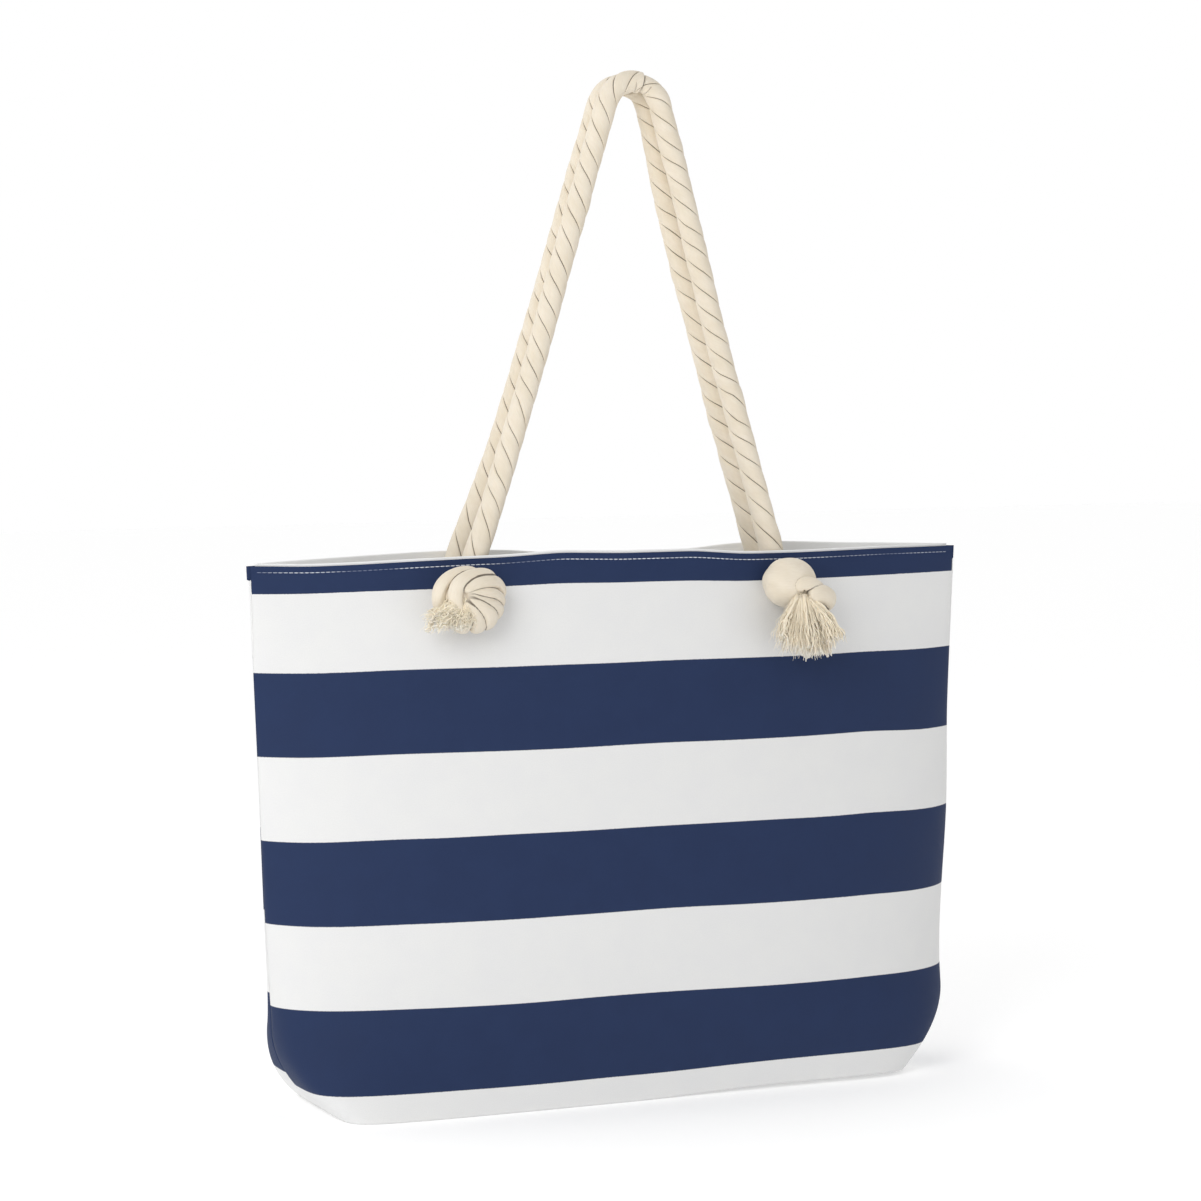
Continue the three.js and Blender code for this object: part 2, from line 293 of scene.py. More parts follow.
def lining_material():
    """Plain white lining, in a finer weave than the canvas."""
    n = Material("lining_cloth")
    uv = n.uv()
    mottle = n.noise(uv, 30.0, 3.0)
    white = n.mix(n.ramp(mottle, 0.3, 0.7), srgb(246, 246, 245), srgb(251, 251, 250))
    weave = weave_height(n, uv, LINING_WEAVE)
    bump = n.add("Bump", {"Height": weave, "Strength": 0.25, "Distance": 0.0002})
    n.set(Base_Color=white, Roughness=0.8, Normal=bump)
    return n.material


def cotton_material(name, light, deep, fluffy=0.0, pale_tips=False):
    """Cotton: fibres that run along the rope, with painted shade down in the grooves between strands."""
    n = Material(name)
    uv = n.uv()
    along_fibres = n.add("Mapping", {"Vector": uv, "Scale": (2600.0, 160.0, 1.0)})
    fibres = n.noise(along_fibres, 1.0, 5.0, 0.62)
    mottle = n.noise(uv, 55.0, 3.0)
    base = n.mix(n.ramp(mottle, 0.3, 0.7), deep, light)
    base = n.mix(n.ramp(fibres, 0.35, 0.75, 0.0, 0.30), base, srgb(206, 190, 162))
    # Painted shade: darker where the mesh's groove number is high, down in the grooves between strands and
    # lobes.
    base = n.mix(n.ramp(n.number("groove_and_shade"), 0.25, 0.9, 0.0, 0.9), base, srgb(84, 71, 55))
    if pale_tips:
        base = n.mix(n.ramp(n.number("tip"), 0.72, 1.0, 0.0, 0.8), base, srgb(247, 243, 234))
    bump = n.add("Bump", {"Height": fibres, "Strength": 0.45 + fluffy, "Distance": 0.0004})
    n.set(Base_Color=base, Roughness=0.92, Normal=bump)
    n.set(Sheen_Weight=0.2, Sheen_Roughness=0.6)
    n.set(Subsurface_Weight=0.05, Subsurface_Radius=(0.004, 0.003, 0.002))
    return n.material


def metal_material():
    """Nickel with fine scratches."""
    n = Material("eyelet_nickel")
    scratches = n.noise(n.place("Object"), 900.0, 4.0)
    n.set(Base_Color=srgb(205, 204, 198), Metallic=1.0, Roughness=n.ramp(scratches, 0.3, 0.7, 0.22, 0.4))
    return n.material


def thread_material():
    """White thread, with random bluer, darker patches: painted shade and navy tint where it would sink into
    the navy cloth.
    """
    n = Material("topstitch_thread")
    place = n.place("Object")
    twist = n.noise(place, 2500.0, 2.0)
    sunk_shade = n.noise(place, 14.0, 1.0)
    white = n.mix(n.ramp(twist, 0.35, 0.65), srgb(196, 202, 216), srgb(232, 235, 240))
    # Bluer, darker patches of painted shade on the thread, placed by noise.
    n.set(Base_Color=n.mix(n.ramp(sunk_shade, 0.42, 0.6), srgb(104, 114, 142), white), Roughness=0.6)
    return n.material


ROPE_COTTON = cotton_material("rope_cotton", light=srgb(234, 224, 207), deep=srgb(227, 216, 196))
# The frayed ends are paler than the rope: one kind is combed out, the other fluffed up.
FRINGE_COTTONS = {
    "combed": cotton_material("combed_cotton", light=srgb(247, 237, 216), deep=srgb(242, 229, 204),
                              fluffy=0.2, pale_tips=True),
    "fluffed": cotton_material("fluffed_cotton", light=srgb(255, 247, 228), deep=srgb(253, 241, 216),
                               fluffy=0.2, pale_tips=True),
}
LINING_CLOTH = lining_material()
NICKEL = metal_material()
THREAD = thread_material()
CANVASES = {half: canvas_material(f"striped_canvas_{half}", PRINT_SHIFTS[half])
            for half in SIDES}


# ---------- the bag's shape ----------
# How late the bag narrows towards its flat mouth; 1 would be straight walls.
DEPTH_TAPER = 1.6
# How boxy a level is: at the rim, more so lower down, and more again close to the floor.
RIM_SQUARENESS, WALL_SQUARENESS, BASE_SQUARENESS = 1.1, 0.8, 8
FLOOR_REACH = 0.022
# At the rim the lining stops short of the seam by this much more than its own inset.
SEAM_CROWDING = 2.2
SECTION_SAMPLES = 900

# Waves in the cloth: how many, the shortest in radians per metre, and their height.
RIPPLES = 14
RIPPLES_ACROSS, RIPPLES_UP = 30, 22
RIPPLE_FADE = 0.08
RIPPLE_HEIGHT = 0.0012
ANY_PHASE = (0, 6.28)
# The knots press the cloth in.
KNOT_PRESSES, KNOT_PRESS_AREA = 0.0012, 0.0009

# How much thicker the hem is, and how its topstitching pulls it in.
HEM_THICKENS, HEM_STEP = 0.0004, 0.0009
TOPSTITCH_DROP = 0.0043
TOPSTITCH_PULLS, TOPSTITCH_REACH = 0.0003, 0.0011

# The cloth's ends past the frame's: a swell above the base, a bulge low on the right, a pinch at the
# seams, and the rear hem's tab at the left.
END_SWELL = {"left": 0.0025, "right": 0.0028}
END_SWELL_FADES = (0.0, 0.16)
RIGHT_BULGE, RIGHT_BULGE_Z, RIGHT_BULGE_REACH = 0.0024, 0.19, 0.05
SEAM_PINCH, SEAM_WIDTH = 0.0004, 0.0045
HEM_TAB, HEM_TAB_HEIGHT = 0.0015, 0.0098

# How far levels rise in the middle, where they follow the rim, and the lining's edge.
MIDDLE_RISE, MIDDLE_REACH = 0.0016, 0.11
RIM_FROM, RIM_TO = 0.034, 0.001
LINING_STANDS, LINING_FROM = 0.0017, 0.012

# The soft base against the rim: to the left by BASE_SHIFT, turned so that its left end comes forward,
# and lifted at the right. All of it fades out at BASE_REACH above the floor.
BASE_SHIFT, BASE_LIFT, BASE_REACH = -0.0062, 0.0030, 0.065
BASE_TURN, BASE_TURN_SPAN = 0.0095, 0.16
BASE_LIFT_FROM, BASE_LIFT_TO, BASE_LIFT_HASTE = -0.01, 0.12, 1.4

# The printed stripes hang below their even spacing, low down and at the seams.
LOW_DROOP, LOW_DROOP_Z, LOW_DROOP_REACH = 0.0016, 0.092, 0.045
SEAM_DROOP, SEAM_DROOP_FROM, SEAM_DROOP_TO = 0.0021, 0.17, 0.25

# Rows of points: a quarter are in the hem, and a few at the base's crease.
HEM_DEPTH, CREASE_Z = 0.022, 0.012
CREASE_ROWS = 8
RIM_SAMPLES, RIM_WINDOW = 400, 25


def smooth(x, low, high):
    """A smooth step from 0 at low to 1 at high."""
    t = np.clip((x - low) / (high - low), 0, 1)
    return t * t * (3 - 2 * t)


def past_waist(z):
    """How far a level is from the waist to the rim, and from the waist to the floor."""
    return np.clip((z - WAIST_Z) / (HEIGHT - WAIST_Z), 0, 1), np.clip(1 - z / WAIST_Z, 0, 1)


def half_length(z):
    up, down = past_waist(z)
    return (WAIST_HALF_LENGTH + (MOUTH_HALF_LENGTH - WAIST_HALF_LENGTH) * up
            - (WAIST_HALF_LENGTH - BASE_HALF_LENGTH) * down ** 2)


def half_depth(z):
    up, down = past_waist(z)
    return (WAIST_HALF_DEPTH - (WAIST_HALF_DEPTH - MOUTH_HALF_DEPTH) * up ** DEPTH_TAPER
            - (WAIST_HALF_DEPTH - BASE_HALF_DEPTH) * (1 - np.sin(math.pi / 2 * (1 - down))))


def squareness(z):
    return (RIM_SQUARENESS + WALL_SQUARENESS * (1 - z / HEIGHT)
            + BASE_SQUARENESS * np.exp(-z / FLOOR_REACH))


def end_of_level(z, inset):
    return half_length(z) - inset * (1 + SEAM_CROWDING * z / HEIGHT)


def depth_at(x, z, inset=0.0):
    """How far the cloth is from the bag's middle plane."""
    power = squareness(z)
    along = np.clip(np.abs(x) / end_of_level(z, inset), 0, 1)
    return (half_depth(z) - inset) * (1 - along ** (1 + power)) ** (1 / power)


def section(z, inset, count):
    """Points evenly spaced along the cloth from seam to seam: x, depth and place along it."""
    x = -end_of_level(z, inset) * np.cos(np.linspace(0, math.pi, SECTION_SAMPLES))
    y = depth_at(x, z, inset)
    y[[0, -1]] = 0
    along = np.concatenate([[0], np.cumsum(np.hypot(np.diff(x), np.diff(y)))])
    at = np.linspace(0, along[-1], count)
    return np.interp(at, along, x), np.interp(at, along, y), at - along[-1] / 2


def ripples(x, z, seed):
    """Gentle unevenness, mostly between -1 and 1, from a few long waves."""
    r = np.random.default_rng(seed)
    total = np.zeros_like(x)
    for _ in range(RIPPLES):
        across, up = r.uniform(-RIPPLES_ACROSS, RIPPLES_ACROSS), r.uniform(-RIPPLES_UP, RIPPLES_UP)
        wave = np.sin(across * x + up * z + r.uniform(*ANY_PHASE))
        total += wave / (1 + RIPPLE_FADE * math.hypot(across, up))
    return total / 4


# How far each rim stands above its mean height, from the left seam to the right, in metres.
RIM_RISE = {
    "front": [(-0.270, 0), (-0.232, -0.0006), (-0.200, 0.0003), (-0.165, 0.0018), (-0.120, 0.0032),
              (-0.098, 0.0036), (-0.055, 0.0060), (-0.010, 0.0045), (0.047, 0.0044), (0.085, 0.0012),
              (0.130, 0.0006), (0.205, 0.0009), (0.270, 0)],
    "rear": [(-0.270, 0), (-0.190, 0.0016), (-0.140, 0.0028), (-0.100, 0.0032), (-0.065, 0.0018),
             (-0.030, -0.0014), (0.030, -0.0020), (0.075, -0.0008), (0.105, 0.0024), (0.140, 0.0034),
             (0.190, 0.0016), (0.270, 0)],
}


def rim_rise(x, half):
    """The rim's rise at x, with the corners of RIM_RISE rounded off."""
    places, rises = np.array(RIM_RISE[half]).T
    fine = np.linspace(places[0], places[-1], RIM_SAMPLES)
    padded = np.pad(np.interp(fine, places, rises), RIM_WINDOW // 2, mode="edge")
    window = np.hanning(RIM_WINDOW)
    return np.interp(x, fine, np.convolve(padded, window / window.sum(), mode="valid"))


def cloth_levels(rows):
    """Heights of the rows of cloth from the rim down, closest together in the hem."""
    hem_rows = rows // 4
    hem = np.linspace(HEIGHT, HEIGHT - HEM_DEPTH, hem_rows, endpoint=False)
    wall = np.linspace(HEIGHT - HEM_DEPTH, CREASE_Z, rows - hem_rows - CREASE_ROWS)
    return np.concatenate([hem, wall, np.linspace(CREASE_Z, 0, CREASE_ROWS + 1)[1:]])


def base_share(z):
    """How much of the base's own offsets a level has: all at the floor, none from BASE_REACH up."""
    return 1 - smooth(z, 0.0, BASE_REACH)


def base_skew(x):
    """How far back the turned base is at x."""
    return BASE_TURN * np.tanh(x / BASE_TURN_SPAN)


def cloth_swell(x, z, half, from_seam):
    """How far the cloth stands out of its even shape; it is calm at the floor, seams and knots."""
    calm = smooth(z, 0.0, 0.05) * smooth(from_seam, 0.0, 0.03)
    near_knot = np.exp(-((np.abs(x) - EYELET_X) ** 2 + (z - EYELET_Z) ** 2) / KNOT_PRESS_AREA)
    waves = RIPPLE_HEIGHT * ripples(x, z, SEEDS[half]) * calm * (1 - near_knot)
    return waves - KNOT_PRESSES * near_knot


def hem_swell(z, from_seam):
    """How far the hem stands out, and its topstitching pulls it in."""
    down = HEIGHT - z
    hem = HEM_THICKENS * (1 - smooth(down, RIM_BAND - HEM_STEP, RIM_BAND))
    stitch = TOPSTITCH_PULLS * np.exp(-((down - TOPSTITCH_DROP) / TOPSTITCH_REACH) ** 2)
    return (hem - stitch) * smooth(from_seam, 0.0, 0.004)


def with_ends(x, z, half, from_seam):
    """x, with what the cloth's ends have past the frame's."""
    seam = (1 - smooth(from_seam, 0.0, SEAM_WIDTH)) * smooth(z, 0.0, 0.02)
    swell = np.where(x < 0, -END_SWELL["left"], END_SWELL["right"]) * smooth(z, *END_SWELL_FADES)
    swell = swell + RIGHT_BULGE * math.exp(-((z - RIGHT_BULGE_Z) / RIGHT_BULGE_REACH) ** 2) * (x > 0)
    x = x + swell * (x / MOUTH_HALF_LENGTH) ** 2 - np.sign(x) * SEAM_PINCH * seam
    if half == "rear" and z > HEIGHT - HEM_TAB_HEIGHT:
        x = x - HEM_TAB * seam * (x < 0)
    return x


def level_height(x, z, half, inset):
    """Height at x of the row of cloth whose even height is z."""
    lift = MIDDLE_RISE * np.exp(-(x / MIDDLE_REACH) ** 2)
    height = inset + z * (HEIGHT - inset) / HEIGHT
    height += lift * smooth(z, 0.0, 0.1)
    at_rim = smooth(z, HEIGHT - RIM_FROM, HEIGHT - RIM_TO)
    height += (rim_rise(x, half) - lift) * at_rim
    if inset > 0:
        height += LINING_STANDS * smooth(z, HEIGHT - LINING_FROM, HEIGHT)
    return height


def cloth_row(z, half, inset, columns):
    """A row of points from seam to seam, and their places along the cloth."""
    x, y, along = section(z, inset, columns)
    from_seam = along[-1] - np.abs(along)
    swell = cloth_swell(x, z, half, from_seam)
    if inset == 0:
        swell = swell + hem_swell(z, from_seam)
    x = with_ends(x, z, half, from_seam)
    row = np.stack([x, SIDES[half] * (y + swell), level_height(x, z, half, inset)], axis=1)
    row[:, 0] += BASE_SHIFT * base_share(z)
    row[:, 1] += base_skew(x) * base_share(z)
    row[:, 2] += BASE_LIFT * smooth(x, BASE_LIFT_FROM, BASE_LIFT_TO) * base_share(BASE_LIFT_HASTE * z)
    return row, along


def print_droop(along, z):
    low = LOW_DROOP * np.exp(-((z - LOW_DROOP_Z) / LOW_DROOP_REACH) ** 2)
    at_seams = smooth(np.abs(along), SEAM_DROOP_FROM, SEAM_DROOP_TO)
    return low + SEAM_DROOP * at_seams * np.sin(math.pi * z / HEIGHT)


def clear_of_eyelets(points, faces, side):
    """The faces whose middles are outside the eyelets' holes."""
    middles = points[np.array(faces)].mean(axis=1)
    keep = np.ones(len(faces), bool)
    for end in ENDS.values():
        centre, _, _, out = eyelet_axes(side, end)
        offset = middles - centre
        depth = offset @ out
        keep &= norm(offset - depth[:, None] * out, axis=1) >= EYELET_HOLE
    return [face for face, kept in zip(faces, keep) if kept]


def cloth_half(name, half, inset, thickness, material, columns, rows, base_rows):
    """One sewn half: its face and half gussets down to the base crease, then half of the base."""
    vertices, uvs = [], []
    for z in cloth_levels(rows):
        row, along = cloth_row(z, half, inset, columns)
        vertices.append(row)
        uvs.append(np.stack([along, HEIGHT - z - print_droop(along, z)], axis=1))
    crease = vertices[-1]
    for t in np.arange(1, base_rows) / (base_rows - 1):
        row = crease.copy()
        row[:, 1] = crease[:, 1] * (1 - t) + base_skew(crease[:, 0] - BASE_SHIFT) * t
        vertices.append(row)
        uvs.append(np.stack([uvs[rows - 1][:, 0], HEIGHT + np.abs(crease[:, 1]) * t], axis=1))
    points = np.concatenate(vertices)
    faces = clear_of_eyelets(points, grid_faces(len(vertices), columns), SIDES[half])
    if half == "front":
        faces = [tuple(reversed(face)) for face in faces]
    cloth = new_object(name, points, faces, material)
    set_uv(cloth, np.concatenate(uvs))
    solid = cloth.modifiers.new("thickness", "SOLIDIFY")
    solid.thickness = thickness
    solid.offset = -1
    return cloth


# ---------- lines and tubes ----------
# A direction that no line here starts along.
ASLANT = (0.3, 0.9, 0.2)
SPLINE_STEPS = 12
BEND_POINTS = 24


def frames_along(points):
    """Two sideways unit vectors at each point of a line that don't twist round it."""
    tangents = np.gradient(points, axis=0)
    tangents /= norm(tangents, axis=1)[:, None]
    normal = np.cross(tangents[0], ASLANT)
    normals = [normal / norm(normal)]
    for tangent in tangents[1:]:
        normal = normals[-1] - tangent * (normals[-1] @ tangent)
        normals.append(normal / norm(normal))
    normals = np.array(normals)
    return normals, np.cross(tangents, normals)


def ring_directions(angle, normals, sides):
    """Unit vectors out of a line, at the angles given for each of its points."""
    return np.cos(angle)[..., None] * normals[:, None] + np.sin(angle)[..., None] * sides[:, None]


def lengths_along(points):
    return np.concatenate([[0], np.cumsum(norm(np.diff(points, axis=0), axis=1))])


def points_at(at, along, points):
    return np.stack([np.interp(at, along, points[:, k]) for k in range(3)], axis=1)


def resample(points, step):
    """The same line with evenly spaced points, and the length along it of each."""
    points = np.asarray(points, float)
    along = lengths_along(points)
    at = np.linspace(0, along[-1], max(3, int(round(along[-1] / step)) + 1))
    return points_at(at, along, points), at


def spline(points):
    """A centripetal Catmull-Rom line through the points."""
    p = np.asarray(points, float)
    p = np.concatenate([[2 * p[0] - p[1]], p, [2 * p[-1] - p[-2]]])
    out = []
    for i in range(1, len(p) - 2):
        q = p[i - 1:i + 3]
        t = np.concatenate([[0], np.cumsum(np.sqrt(norm(np.diff(q, axis=0), axis=1)))])
        for u in np.linspace(t[1], t[2], SPLINE_STEPS, endpoint=False):
            a = [((t[k + 1] - u) * q[k] + (u - t[k]) * q[k + 1]) / (t[k + 1] - t[k]) for k in range(3)]
            b = [((t[k + 2] - u) * a[k] + (u - t[k]) * a[k + 1]) / (t[k + 2] - t[k]) for k in range(2)]
            out.append(((t[2] - u) * b[0] + (u - t[1]) * b[1]) / (t[2] - t[1]))
    out.append(p[-2])
    return np.array(out)


def bezier(p0, p1, p2, p3):
    t = np.linspace(0, 1, BEND_POINTS)[:, None]
    return (1 - t) ** 3 * p0 + 3 * (1 - t) ** 2 * t * p1 + 3 * (1 - t) * t ** 2 * p2 + t ** 3 * p3


def tube(points, radii, around):
    """Vertices, faces and (around, along) lengths of a closed tube with that radius at each point."""
    angle = np.linspace(0, 2 * math.pi, around, endpoint=False)
    ring = ring_directions(angle[None], *frames_along(points))
    vertices = points[:, None] + np.asarray(radii)[:, None, None] * ring
    along = lengths_along(points)
    uv = np.stack(np.broadcast_arrays(angle[None] * np.mean(radii), along[:, None]), axis=-1)
    return vertices.reshape(-1, 3), capped_tube_faces(len(points), around), uv.reshape(-1, 2)


def joined(name, tubes, material, grooves=None):
    """One object out of many (vertices, faces, uv) tubes."""
    vertices, faces, uvs, start = [], [], [], 0
    for v, f, uv in tubes:
        vertices.append(v)
        uvs.append(uv)
        faces.extend(tuple(i + start for i in face) for face in f)
        start += len(v)
    obj = new_object(name, np.concatenate(vertices), faces, material)
    set_uv(obj, np.concatenate(uvs))
    set_number(obj, "groove_and_shade", np.zeros(start) if grooves is None else grooves)
    return obj


# ---------- rope ----------
STRANDS = 3
STRAND_HALF_ANGLE = math.pi / STRANDS
COLUMNS_PER_STRAND = 26
ROPE_LAY = 0.047
ROPE_STEP = 0.0015
# Unevenness, drawn at this many places along a rope: of its twist, its size, each strand's size and
# how deep each groove is.
UNEVEN = 46
TWIST_WANDERS, ROPE_WANDERS, STRAND_WANDERS = 0.16, 0.014, 0.022
GROOVE_LEAST, GROOVE_WANDERS = 0.55, 0.45
# A strand's radius as a share of the rope's: at its edges, and how much more at its crown.
STRAND_EDGE, STRAND_CROWN = 0.966, 0.046
GROOVE_WIDTH, GROOVE_DEPTH = 0.065, 0.15
# Just above the rim the strands lie looser: they turn more slowly and the rope is fuller.
LOOSE_RISE, LOOSE_REACH = 0.004, 0.026
LOOSE_SLOWS, LOOSE_SWELLS = 0.42, 0.07
# The front rope has one crease across it, at the right of its arch, and is thinner just past it.
CREASE_ANGLE = 1.27
CREASE_WIDTH, CREASE_REACH, CREASE_STEP = 0.0007, 0.006, 0.0004
PINCH, PINCH_REACH = 0.21, 0.010
# From the eyelet to the rim: how far outside the cloth the rope ends, how far inside it starts to
# bend, the bend's two arms, and how far below the rim it ends.
TAIL_OUT, TAIL_IN = 0.006, 0.0058
TAIL_LOWER_ARM, TAIL_UPPER_ARM, TAIL_TOP_DROP = 0.016, 0.006, 0.0033
LEG_POINTS, ARCH_POINTS = 40, 40


def with_finer_part(points, along, at):
    """The same line with close points on both sides of one place along it."""
    finer = np.arange(at - CREASE_REACH, at + CREASE_REACH, CREASE_STEP)
    places = np.unique(np.concatenate([along[np.abs(along - at) > CREASE_REACH], finer]))
    return points_at(places, along, points), places


def loose_near_rim(points):
    return np.exp(-((points[:, 2] - RIM_ROPE_Z - LOOSE_RISE) / LOOSE_REACH) ** 2)


def rope_mesh(name, line, seed, crease_at):
    """Three strands laid left-handed and pressed together: a round section with three thin grooves."""
    points, along = resample(line, ROPE_STEP)
    crease, pinch = np.zeros(len(points)), 0
    if crease_at is not None:
        at = along[np.argmin(norm(points - crease_at, axis=1))]
        points, along = with_finer_part(points, along, at)
        crease = np.exp(-((along - at) / CREASE_WIDTH) ** 2)
        pinch = PINCH * np.exp(-(np.clip(along - at, 0, None) / PINCH_REACH) ** 2) * (along > at)
    places = np.linspace(0, along[-1], UNEVEN)

    def uneven(draw, low_or_mean, high_or_spread):
        return np.interp(along, places, draw(low_or_mean, high_or_spread, UNEVEN))

    r = np.random.default_rng(seed)
    loose = loose_near_rim(points)
    turn_rate = 2 * math.pi / ROPE_LAY * (1 - LOOSE_SLOWS * loose)
    twist = -np.concatenate([[0], np.cumsum(turn_rate[1:] * np.diff(along))])
    twist += TWIST_WANDERS * uneven(r.normal, 0, 1)
    swell = 1 + ROPE_WANDERS * uneven(r.normal, 0, 1) + LOOSE_SWELLS * loose - pinch

    # Columns of points are closest together at a strand's edges, where the grooves are.
    share = np.linspace(-1, 1, COLUMNS_PER_STRAND, endpoint=False)
    column = STRAND_HALF_ANGLE * np.sin(share * math.pi / 2)
    across = np.abs(column) / STRAND_HALF_ANGLE
    crown = STRAND_EDGE + STRAND_CROWN * np.cos(across * math.pi / 2) ** 0.8
    cut = np.exp(-((1 - across) / GROOVE_WIDTH) ** 2)
    normals, sides = frames_along(points)
    vertices, uvs, grooves = [], [], []
    for strand in range(STRANDS):
        fatter = STRAND_WANDERS * uneven(r.normal, 0, 1)
        depth = uneven(r.uniform, 0.35, 1.0)
        groove_and_shade = cut[None] * (GROOVE_LEAST + GROOVE_WANDERS * depth[:, None])
        groove_and_shade = np.maximum(groove_and_shade, crease[:, None])
        size = ROPE_RADIUS * swell[:, None] * (1 + fatter[:, None] * (1 - across[None] ** 4))
        size = size * crown[None] * (1 - GROOVE_DEPTH * groove_and_shade)
        place = column + strand * 2 * math.pi / STRANDS
        ring = ring_directions(twist[:, None] + place[None], normals, sides)
        vertices.append(points[:, None] + size[..., None] * ring)
        uvs.append(np.stack(np.broadcast_arrays(place[None] * ROPE_RADIUS, along[:, None]), axis=-1))
        grooves.append(groove_and_shade)
    vertices = np.concatenate(vertices, axis=1)
    rope = new_object(name, vertices.reshape(-1, 3), capped_tube_faces(*vertices.shape[:2]), ROPE_COTTON)
    set_uv(rope, np.concatenate(uvs, axis=1).reshape(-1, 2))
    # The groove number paints shade in the grooves and the crease; the same mask also cuts them into the
    # rope.
    set_number(rope, "groove_and_shade", np.concatenate(grooves, axis=1))
    return rope, points


def handle_y(z):
    """How far a handle is from the bag's middle plane; the two lean together at the top."""
    return RIM_ROPE_Y + (APEX_Y - RIM_ROPE_Y) * (z - RIM_ROPE_Z) / (APEX_TOP_Z - RIM_ROPE_Z)


def leg_foot(handle, end):
    return np.array([handle["left_foot"] if end < 0 else handle["right_foot"], RIM_ROPE_Z])


def arch_middle(handle):
    return np.array([handle["arch_x"], APEX_TOP_Z - handle["arch_drop"] - handle["arch_radius"]])


def arch_angle(handle, end):
    """Where round its middle the arch meets the leg at that end."""
    reach = leg_foot(handle, end) - arch_middle(handle)
    return math.atan2(reach[1], reach[0]) + end * math.acos(handle["arch_radius"] / np.hypot(*reach))


def leg_bend(bends, heights):
    curve = spline([(z, bend / 1000) for z, bend in zip(BEND_HEIGHTS, bends)])
    return np.interp(heights, curve[:, 0], curve[:, 1])


def handle_line(handle, side):
    """The handle's centreline from the left rim over the arch to the right rim."""
    angles = np.linspace(arch_angle(handle, -1) + 2 * math.pi, arch_angle(handle, 1), ARCH_POINTS)
    arch = arch_middle(handle) + handle["arch_radius"] * np.stack([np.cos(angles), np.sin(angles)], axis=1)
    left = np.linspace(leg_foot(handle, -1), arch[0], LEG_POINTS, endpoint=False)
    right = np.linspace(arch[-1], leg_foot(handle, 1), LEG_POINTS + 1)[1:]
    left[:, 0] += leg_bend(handle["left_bend"], left[:, 1])
    right[:, 0] += leg_bend(handle["right_bend"], right[:, 1])
    flat = np.concatenate([left, arch, right])
    return np.stack([flat[:, 0], side * handle_y(flat[:, 1]), flat[:, 1]], axis=1)


def eyelet_axes(side, end):
    """An eyelet's centre, and unit vectors across, up and out of the cloth."""
    x, step = end * EYELET_X, 0.0005
    slope_x = (depth_at(x + step, EYELET_Z) - depth_at(x - step, EYELET_Z)) / (2 * step)
    slope_z = (depth_at(x, EYELET_Z + step) - depth_at(x, EYELET_Z - step)) / (2 * step)
    out = np.array([-slope_x, side, -slope_z])
    out /= norm(out)
    across = np.cross([0, 0, 1], out)
    across /= norm(across)
    return np.array([x, side * depth_at(x, EYELET_Z), EYELET_Z]), across, np.cross(out, across), out


def tail_line(side, end, foot, leg):
    """From just outside the eyelet in through it and up to the rim; leg is the handle's direction there."""
    centre, _, _, out = eyelet_axes(side, end)
    start = centre - TAIL_IN * out
    top = foot - TAIL_TOP_DROP * leg
    bend = bezier(start, start - TAIL_LOWER_ARM * out, top - TAIL_UPPER_ARM * leg, top)
    return np.concatenate([[centre + TAIL_OUT * out, centre], bend])


def whole_rope(half):
    """A rope's centreline from its left eyelet to its right one."""
    side = SIDES[half]
    line = handle_line(HANDLES[half], side)
    tails = []
    for end, foot, after in ((-1, line[0], line[1]), (1, line[-1], line[-2])):
        leg = (after - foot) / norm(after - foot)
        tails.append(tail_line(side, end, foot, leg))
    return np.concatenate([tails[0], line, tails[1][::-1]])


def make_rope(half):
    """The whole rope, from its left eyelet to its right one, in place of the frame's handle and rope tails.
    """
    side, handle = SIDES[half], HANDLES[half]
    line = whole_rope(half)
    crease_at = None
    if half == "front":
        way = np.array([math.cos(CREASE_ANGLE), math.sin(CREASE_ANGLE)])
        x, z = arch_middle(handle) + handle["arch_radius"] * way
        crease_at = (x, side * handle_y(z), z)
    rope, centre_points = rope_mesh(f"{half}_rope", line, SEEDS[half], crease_at)
    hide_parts(f"{half}_handle", f"rope_tail_{half}_left", f"rope_tail_{half}_right")
    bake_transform(rope)
    length = float(lengths_along(centre_points)[-1])


# ---------- knots and frayed ends ----------
# All in millimetres: across, up and out from a knot's middle.
# Each lobe of a knot is where a strand shows: its line and its radius. A rosette's lobes start behind,
# at the cloth, and run in to the centre; a ball's run the other way.
ROSETTE = [
    ([(6, 14, -12), (1, 17, -2), (-8, 16.8, 3), (-16, 14, 5), (-21.5, 7.5, 5), (-22, -1, 3),
      (-19, -9, -1)], 5.8),
    ([(16, 12, -9), (15, 15.5, 0), (8, 16.2, 6), (-2, 14, 10), (-9.5, 9, 12.5), (-12.5, 2, 13), (-11, -5, 11),
      (-7, -11, 8)], 5.4),
    ([(23, 1, -10), (24, 6, -2), (20.5, 10.3, 3), (13.5, 10.6, 7.5), (5.5, 9.6, 11.5), (-1, 7, 13.8),
      (-6.5, 3.6, 14.3)], 5.0),
    ([(22, -7, -9), (22.5, -2, -1), (17.5, 1.5, 5.5), (10, 2.5, 10.5), (2, 2.2, 13), (-4.5, 1.6, 14)], 4.0),
    ([(20, -14, -9), (20.5, -9, -1), (15, -5.5, 5.5), (8, -3, 10), (0, -0.5, 13.3), (-4, 0.5, 13.6)], 4.7),
    ([(13, -20, -9), (14.5, -17, -1), (12.5, -11.5, 5.5), (7, -7, 9.8), (0, -3.3, 12.8),
      (-4, -1, 13.2)], 5.5),
    ([(5, -22, -9), (6.5, -19.5, -1), (4.5, -15, 5), (1.5, -10.5, 9), (-2, -5.5, 12), (-5, -2, 12.6)], 5.2),
    ([(-5, -21, -9), (-4, -18.5, -1), (-3.5, -13.5, 6), (-5, -8, 10)], 5.4),
]
